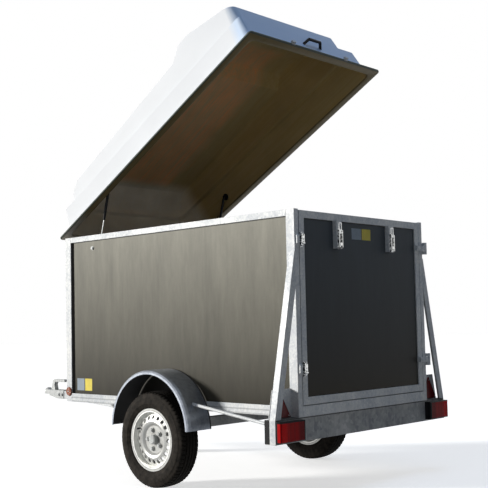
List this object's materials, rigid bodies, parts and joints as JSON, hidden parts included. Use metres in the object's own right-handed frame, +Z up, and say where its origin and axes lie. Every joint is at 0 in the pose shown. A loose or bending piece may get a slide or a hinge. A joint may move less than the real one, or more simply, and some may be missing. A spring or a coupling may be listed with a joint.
{
  "type": "box trailer",
  "caption": "Galvanised box trailer with plywood walls, a front-hinged white moulded lid propped open by gas struts, a side-hinged rear door, road wheels, ball coupling and jockey wheel.",
  "frame": {"origin": "under the middle of the whole trailer, on the ground", "axes": "+X forward to the coupling, +Y left, +Z up"},
  "size_m": [3.2074, 1.568, 2.791],
  "materials": {
    "galvanised": "hot-dip galvanised, mottled grey",
    "plywood": "film-faced plywood, grey-brown, streaked",
    "plywood_dark": "film-faced plywood, near black",
    "lid_plastic": "white moulded outside, brown raw inside",
    "tyre_rubber": "road tyre",
    "wheel_steel": "silver paint",
    "black_steel": "black satin paint",
    "steel": "bright rod",
    "zinc": "zinc plated",
    "red_plastic": "dark red lens",
    "red_reflector": "red reflector",
    "amber_reflector": "amber reflector",
    "black_plastic": "moulded black",
    "black_rubber": "solid rubber"
  },
  "bodies": {
    "chassis": {"bottom_rails": "galvanised", "floor_beams": "galvanised", "floor": "plywood", "corner_posts": "galvanised", "top_rails": "galvanised", "side_panel_left": "plywood", "side_panel_right": "plywood", "front_panel": "plywood", "drawbar": "galvanised", "coupling_head": "zinc", "coupling_lever": "zinc", "axle_beam": "galvanised", "trailing_arms": "galvanised", "mudguards": "galvanised", "lamp_bar": "galvanised", "braces": "galvanised", "reflector_plates": "galvanised", "triangle_reflectors": "red_reflector", "side_markers": "amber_reflector", "lamp_housings": "black_plastic", "lamp_lenses": "red_plastic", "mudguard_stays": "galvanised", "post_fittings": "galvanised", "lid_hinge_leaves": "zinc", "strut_feet_pair": "black_steel", "jockey_clamp": "zinc", "jockey_tube": "zinc"},
    "wheel_left": {"tyre_left": "tyre_rubber", "rim_left": "wheel_steel", "hub_left": "zinc"},
    "wheel_right": {"tyre_right": "tyre_rubber", "rim_right": "wheel_steel", "hub_right": "zinc"},
    "door": {"door_frame": "galvanised", "door_panel": "plywood_dark", "door_hinges": "zinc", "door_latches": "zinc", "lid_catches": "zinc", "catch_toggles": "zinc"},
    "lid": {"lid_shell": "lid_plastic", "lid_handle": "black_plastic", "lid_keepers": "zinc", "lid_hinge_knuckles": "zinc", "lid_strut_brackets": "black_steel"},
    "strut_cylinder_left": {"strut_cylinder_left": "black_steel"},
    "strut_cylinder_right": {"strut_cylinder_right": "black_steel"},
    "strut_rod_left": {"strut_rod_left": "steel"},
    "strut_rod_right": {"strut_rod_right": "steel"},
    "jockey_leg": {"jockey_leg": "zinc"},
    "jockey_fork": {"jockey_fork": "zinc"},
    "jockey_wheel": {"jockey_wheel": "black_rubber"}
  },
  "joints": [
    {"name": "wheel_spin_left", "type": "hinge", "parent": "chassis", "child": "wheel_left", "pos_m": [-0.56975, 0.6925, 0.278], "axis": [0, 1, 0], "continuous": true},
    {"name": "wheel_spin_right", "type": "hinge", "parent": "chassis", "child": "wheel_right", "pos_m": [-0.56975, -0.6925, 0.278], "axis": [0, 1, 0], "continuous": true},
    {"name": "door_hinge", "type": "hinge", "parent": "chassis", "child": "door", "pos_m": [-1.58375, -0.615, 1.0335], "axis": [0, 0, 1], "range_deg": [0, 180]},
    {"name": "lid_hinge", "type": "hinge", "parent": "chassis", "child": "lid", "pos_m": [0.50525, 0, 1.528], "axis": [0, 1, 0], "range_deg": [-29, 0]},
    {"name": "strut_pivot_left", "type": "hinge", "parent": "lid", "child": "strut_cylinder_left", "pos_m": [0.08115, 0.526, 1.87056], "axis": [0, 1, 0], "range_deg": [-9, 0]},
    {"name": "strut_slide_left", "type": "slide", "parent": "strut_cylinder_left", "child": "strut_rod_left", "axis": [0.2618, 0, -0.9651], "range_m": [-0.152, 0]},
    {"name": "strut_pivot_right", "type": "hinge", "parent": "lid", "child": "strut_cylinder_right", "pos_m": [0.08115, -0.526, 1.87056], "axis": [0, 1, 0], "range_deg": [-9, 0]},
    {"name": "strut_slide_right", "type": "slide", "parent": "strut_cylinder_right", "child": "strut_rod_right", "axis": [0.2618, 0, -0.9651], "range_m": [-0.152, 0]},
    {"name": "jockey_slide", "type": "slide", "parent": "chassis", "child": "jockey_leg", "axis": [0, 0, 1], "range_m": [0, 0.15]},
    {"name": "jockey_swivel", "type": "hinge", "parent": "jockey_leg", "child": "jockey_fork", "pos_m": [0.64525, -0.26027, 0.226], "axis": [0, 0, 1], "continuous": true},
    {"name": "jockey_spin", "type": "hinge", "parent": "jockey_fork", "child": "jockey_wheel", "pos_m": [0.60525, -0.26027, 0.1], "axis": [0, 1, 0], "continuous": true}
  ],
  "couplings": [
    {"joint": "strut_pivot_left", "follows": "lid_hinge", "ratio": 0.29894},
    {"joint": "strut_slide_left", "follows": "lid_hinge", "m_per_rad": 0.29825},
    {"joint": "strut_pivot_right", "follows": "lid_hinge", "ratio": 0.29894},
    {"joint": "strut_slide_right", "follows": "lid_hinge", "m_per_rad": 0.29825}
  ]
}
